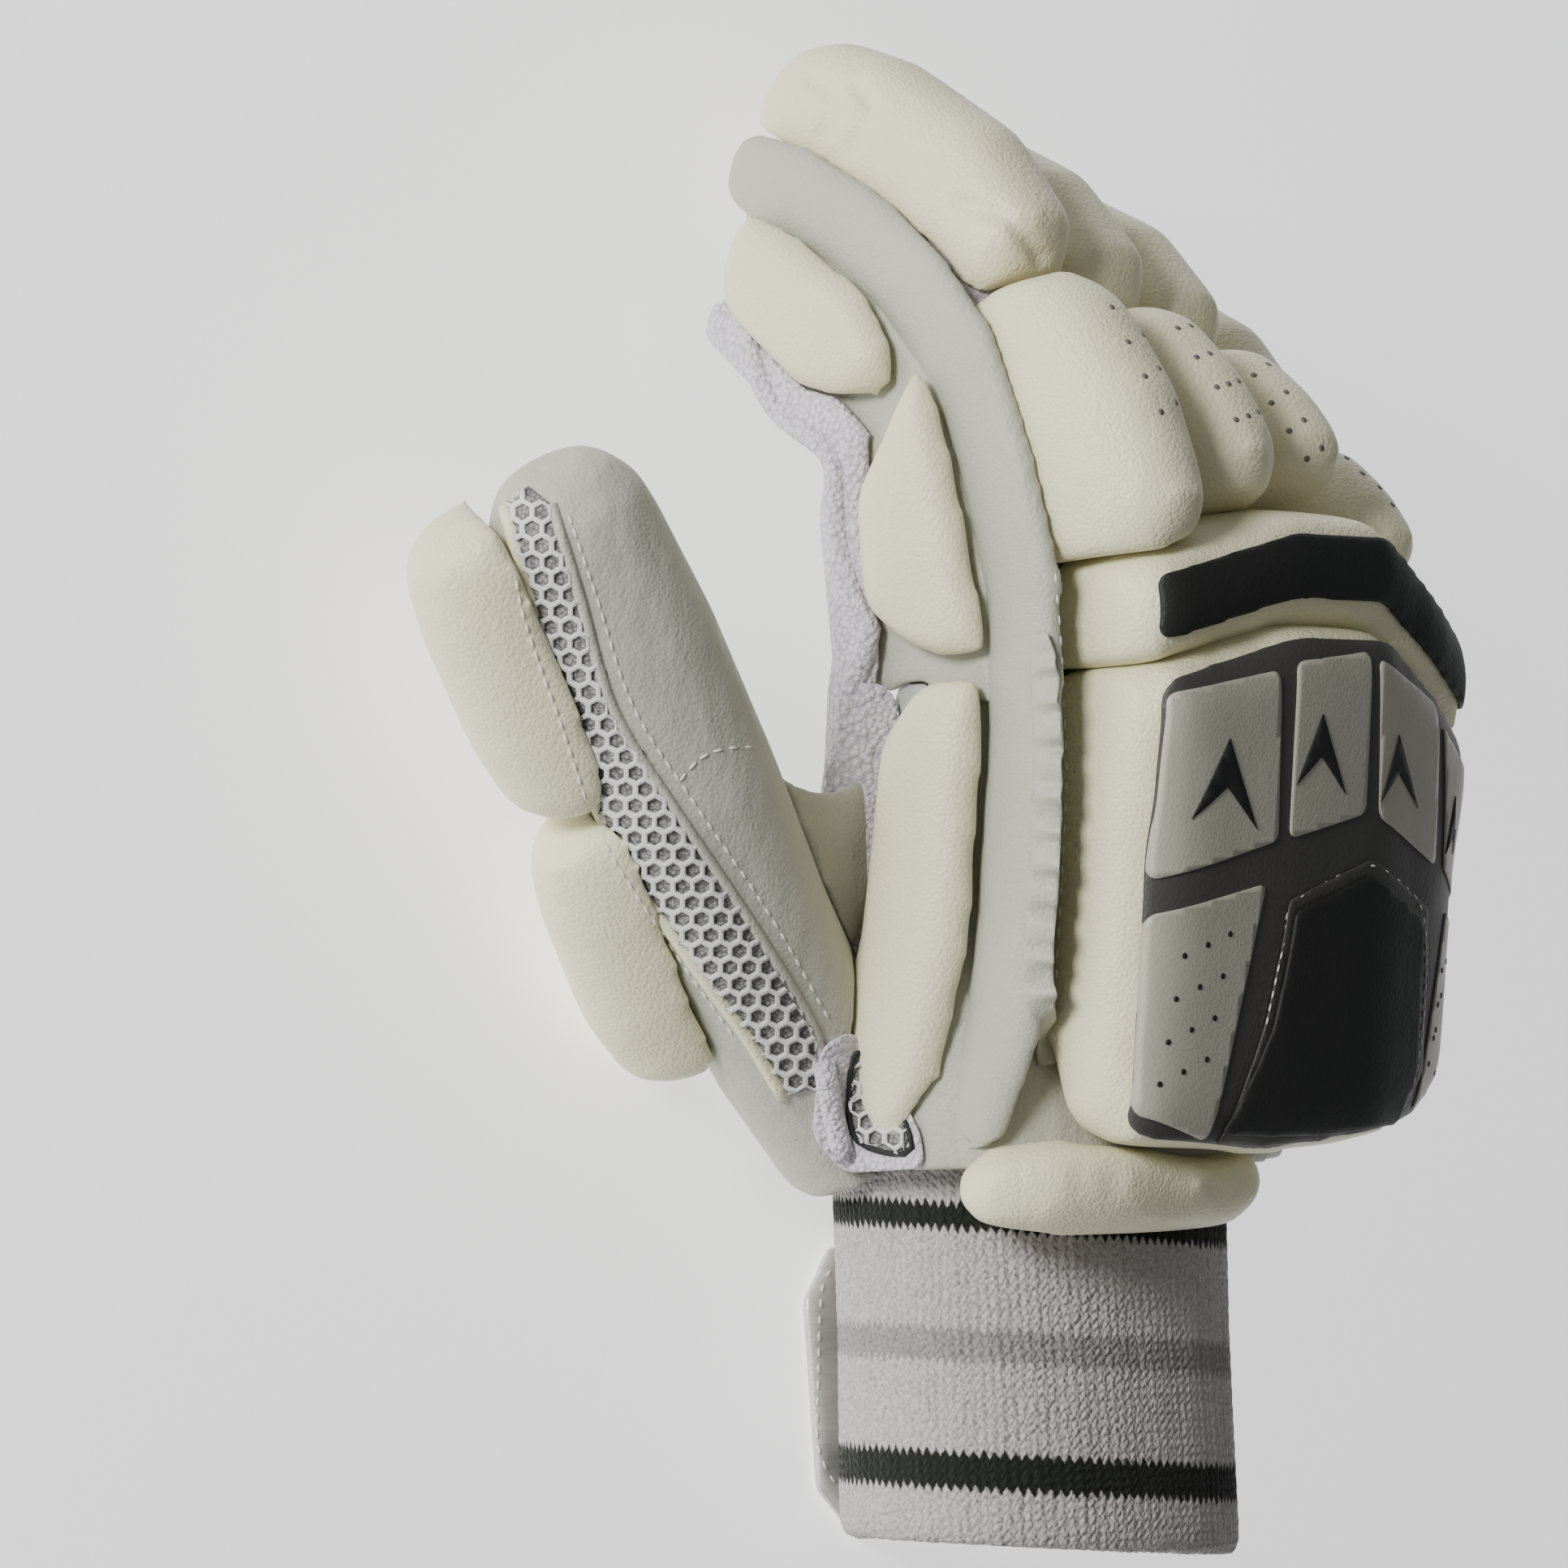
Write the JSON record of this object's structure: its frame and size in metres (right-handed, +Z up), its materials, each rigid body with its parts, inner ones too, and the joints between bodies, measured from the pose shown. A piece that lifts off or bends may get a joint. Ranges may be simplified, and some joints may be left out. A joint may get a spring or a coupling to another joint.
{
  "type": "cricket batting glove",
  "caption": "Right-hand cricket batting glove lying palm down: padded finger rolls, knuckle bar, back pad, side and thumb pads, knitted cuff and closing strap.",
  "frame": {"origin": "on the resting surface, under the middle of the glove's box", "axes": "+Y from the cuff's open end towards the fingertips, +Z up towards the back of the hand, thumb on the -X side"},
  "size_m": [0.1888, 0.2444, 0.0938],
  "materials": {
    "cream_leather": "smooth pads of a creamy white synthetic leather",
    "white_leather": "smooth white leather",
    "palm_leather": "soft thin perforated leather",
    "towelling": "looped towelling",
    "air_mesh": "open mesh with six-sided holes",
    "knit": "ribbed knit with dark stripes",
    "black_leather": "matt, fine grain",
    "printed_panel": "printed windows and chevrons on a satin panel",
    "vinyl": "silver grey vinyl, satin"
  },
  "bodies": {
    "root": {"knit_cuff": "knit", "wrist_strap": "vinyl", "palm_leather": "palm_leather", "hand_back": "white_leather", "index_front": "palm_leather", "index_gusset": "towelling", "index_tip_cap": "white_leather", "index_roll_near": "cream_leather", "index_roll_far": "cream_leather", "middle_front": "palm_leather", "middle_gusset": "towelling", "middle_tip_cap": "white_leather", "middle_roll_near": "cream_leather", "middle_roll_far": "cream_leather", "ring_front": "palm_leather", "ring_gusset": "towelling", "ring_tip_cap": "white_leather", "ring_roll_near": "cream_leather", "ring_roll_far": "cream_leather", "little_front": "palm_leather", "little_gusset": "towelling", "little_tip_cap": "white_leather", "little_roll_near": "cream_leather", "little_roll_far": "cream_leather", "knuckle_bar": "cream_leather", "knuckle_insert": "black_leather", "back_pad": "cream_leather", "back_panel": "printed_panel", "back_shield": "black_leather", "wrist_roll": "cream_leather", "side_channel": "white_leather", "side_pad_wrist": "cream_leather", "side_pad_middle": "cream_leather", "side_pad_tip": "cream_leather", "side_gusset": "towelling", "side_backing": "white_leather", "thumb_back": "white_leather", "thumb_mesh": "air_mesh", "thumb_leather": "white_leather", "thumb_tip_cap": "white_leather", "thumb_pad_tip": "cream_leather", "thumb_pad_wrist": "cream_leather", "thumb_web": "white_leather"}
  },
  "joints": []
}
